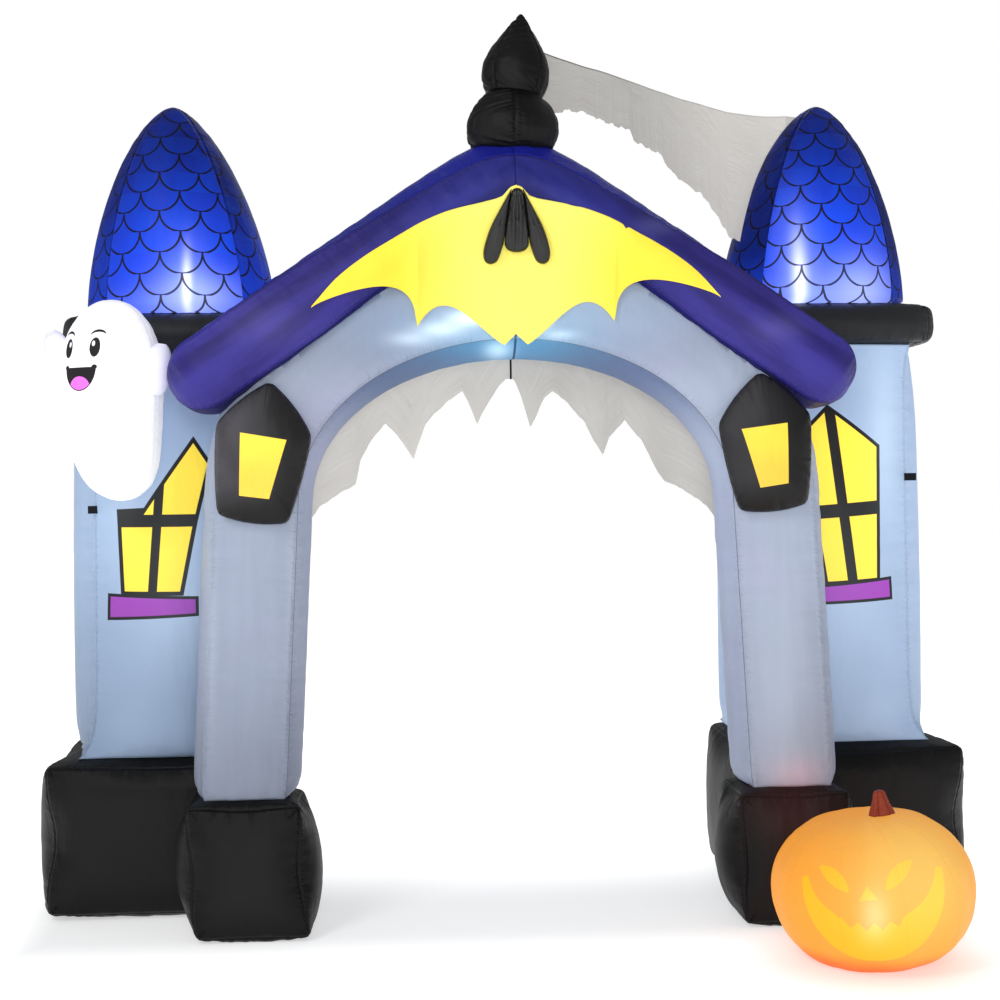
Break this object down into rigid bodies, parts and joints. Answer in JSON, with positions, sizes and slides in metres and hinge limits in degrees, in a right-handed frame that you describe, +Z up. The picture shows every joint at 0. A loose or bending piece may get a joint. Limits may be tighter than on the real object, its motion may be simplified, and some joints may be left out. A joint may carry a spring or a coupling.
{
  "type": "inflatable arch",
  "caption": "Walk-through inflatable yard arch: two light towers with cone roofs, a front arch under an A-shaped roof, and sewn-on autumn figures.",
  "frame": {"origin": "middle of the footprint, on the ground", "axes": "+X to the right as seen from the front, +Y from the front to the back, +Z up"},
  "size_m": [2.99, 1.67, 2.731],
  "materials": {
    "base_black": "coated nylon, satin, slightly puckered at the seams",
    "stone_blue": "coated nylon lit from inside, satin, with printed windows on the towers",
    "roof_indigo": "coated nylon, satin",
    "cone_blue": "coated nylon lit from inside, printed with a scale repeat",
    "bat_yellow": "flat woven polyester sheet, matt",
    "gauze_grey": "sheer torn gauze, matt",
    "ghost_white": "coated nylon lit from inside, satin",
    "pumpkin_orange": "coated nylon lit from inside, satin",
    "stem_brown": "coated nylon, satin"
  },
  "bodies": {
    "root": {"base_front_left": "base_black", "base_front_right": "base_black", "base_rear_left": "base_black", "base_rear_right": "base_black", "cornice_left": "base_black", "cornice_right": "base_black", "finial_upper": "base_black", "finial_lower": "base_black", "lantern_left": "base_black", "lantern_right": "base_black", "bat_pad_left": "base_black", "bat_pad_middle": "base_black", "bat_pad_right": "base_black", "valance_tie": "base_black", "tether_tab_left": "base_black", "tether_tab_right": "base_black", "tower_left": "stone_blue", "tower_right": "stone_blue", "arch_left": "stone_blue", "arch_right": "stone_blue", "roof_left": "roof_indigo", "roof_right": "roof_indigo", "cone_left": "cone_blue", "cone_right": "cone_blue", "bat": "bat_yellow", "gauze_top": "gauze_grey", "valance_left": "gauze_grey", "valance_right": "gauze_grey", "ghost_body": "ghost_white", "ghost_arm_left": "ghost_white", "ghost_arm_right": "ghost_white", "pumpkin": "pumpkin_orange", "pumpkin_stem": "stem_brown"}
  },
  "joints": []
}
